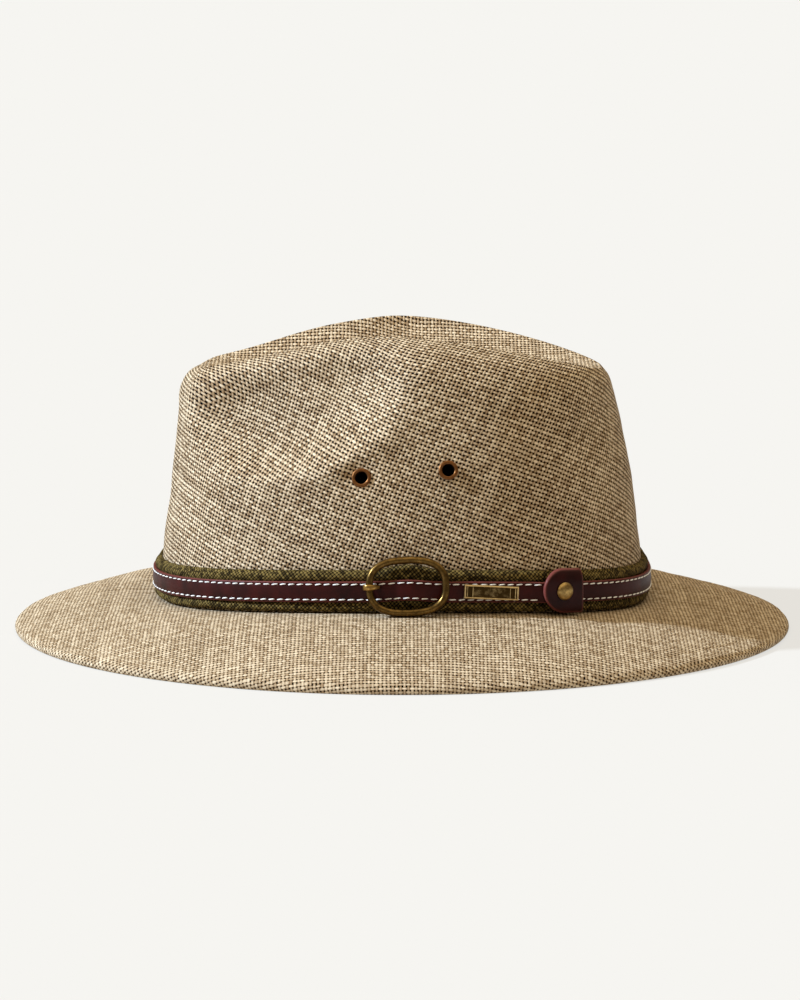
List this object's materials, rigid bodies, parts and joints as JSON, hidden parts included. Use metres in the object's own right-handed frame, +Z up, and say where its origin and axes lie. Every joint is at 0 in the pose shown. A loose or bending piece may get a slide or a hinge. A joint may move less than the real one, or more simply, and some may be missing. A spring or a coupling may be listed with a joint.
{
  "type": "drover hat",
  "caption": "Wide-brimmed drover hat of open-woven cloth with a creased, front-dented crown, a padded canvas band, a buckled leather strap, a bare plate, a riveted tab and vent eyelets.",
  "frame": {"origin": "on the table under the middle of the brim, which rests on its hem", "axes": "+Z up, -X to the front of the hat, +X to the back, -Y to the wearer's left, where the buckle is"},
  "size_m": [0.33, 0.294, 0.1278],
  "materials": {
    "straw_cloth": "open plain weave of flat paper or straw yarn, beige to khaki, matt with a slight sheen",
    "canvas": "olive canvas, padded, matt",
    "strap_leather": "dark maroon brown, semi-gloss, with light saddle stitches along both edges",
    "antique_brass": "antiqued brass, satin, darker in the recesses",
    "copper_brass": "dark copper-toned brass, satin"
  },
  "bodies": {
    "root": {"crown_side": "straw_cloth", "crown_tip": "straw_cloth", "brim": "straw_cloth", "hat_band": "canvas", "strap": "strap_leather", "tab": "strap_leather", "buckle_frame": "antique_brass", "buckle_prong": "antique_brass", "name_plate": "antique_brass", "rivet": "antique_brass", "eyelet_left_front": "copper_brass", "eyelet_left_back": "copper_brass", "eyelet_right_front": "copper_brass", "eyelet_right_back": "copper_brass"}
  },
  "joints": []
}
